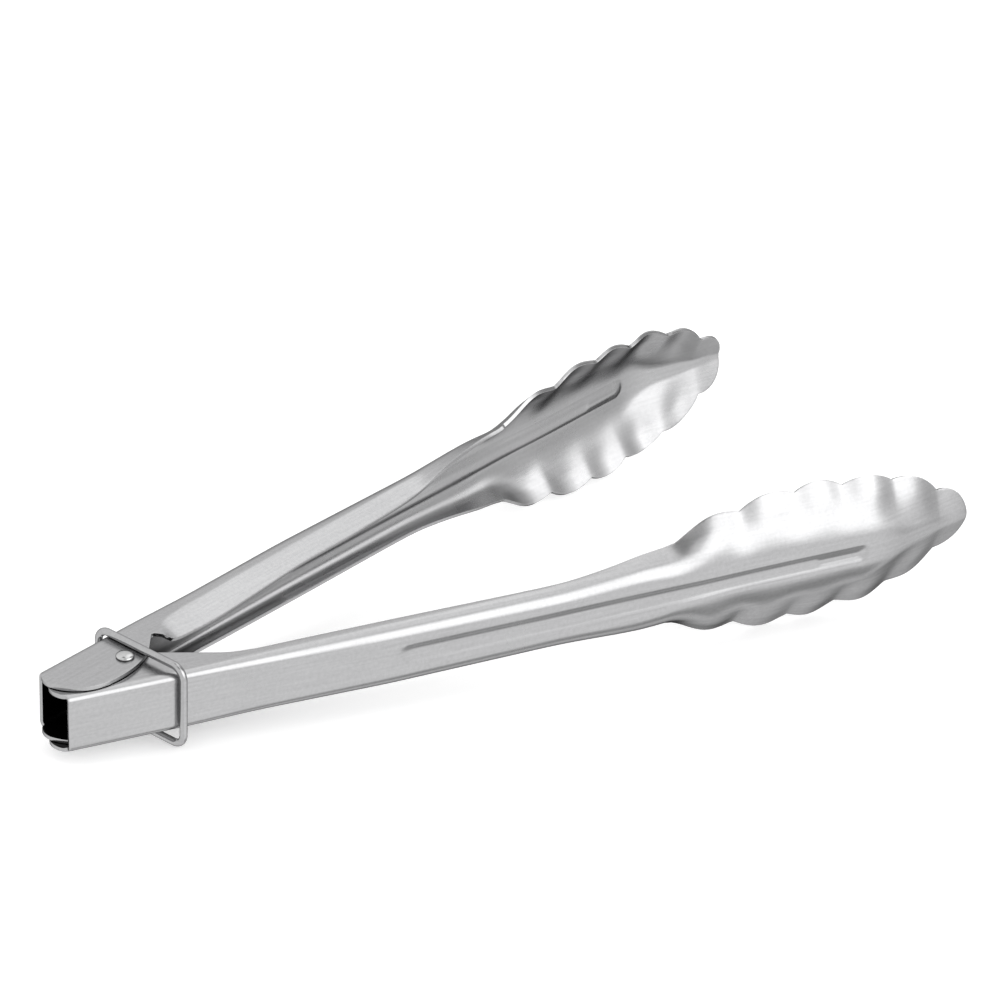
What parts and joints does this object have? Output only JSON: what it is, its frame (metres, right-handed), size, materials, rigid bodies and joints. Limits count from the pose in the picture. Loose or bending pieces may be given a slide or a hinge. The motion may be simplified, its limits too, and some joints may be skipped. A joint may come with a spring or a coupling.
{
  "type": "spring loaded kitchen tongs",
  "caption": "Pressed steel kitchen tongs: channel arms with scalloped bowls, riveted at the rear, sprung open, with a sliding wire locking ring.",
  "frame": {"origin": "on the hinge axis, half way up the rivet, inside the hinge end", "axes": "+Z along the hinge axis, towards the head over the left arm's outer ear; +X from the hinge towards the tips, midway between the open arms; +Y towards the left arm"},
  "size_m": [0.2282, 0.097, 0.0374],
  "materials": {
    "arm_steel": "tumble polished stainless sheet",
    "rivet_steel": "bright headed rivet",
    "spring_steel": "drawn spring wire",
    "ring_steel": "polished wire"
  },
  "bodies": {
    "pivot": {"pivot_rivet": "rivet_steel", "torsion_spring": "spring_steel"},
    "left_arm": {"left_arm": "arm_steel"},
    "right_arm": {"right_arm": "arm_steel"},
    "locking_ring": {"locking_ring": "ring_steel"}
  },
  "joints": [
    {"name": "left_arm_hinge", "type": "hinge", "parent": "pivot", "child": "left_arm", "pos_m": [0, 0, 0], "axis": [0, 0, 1], "range_deg": [-12.3, 0], "stiffness_Nm_per_rad": 1, "springref_deg": 20.05, "deforming": ["torsion_spring"]},
    {"name": "right_arm_hinge", "type": "hinge", "parent": "pivot", "child": "right_arm", "pos_m": [0, 0, 0], "axis": [0, 0, 1], "range_deg": [0, 12.3]},
    {"name": "locking_ring_slide", "type": "slide", "parent": "pivot", "child": "locking_ring", "axis": [1, 0, 0], "range_m": [0, 0.018]}
  ],
  "couplings": [
    {"joint": "right_arm_hinge", "follows": "left_arm_hinge", "ratio": -1},
    {"joint": "locking_ring_slide", "follows": "left_arm_hinge", "m_per_rad": -0.0837}
  ]
}
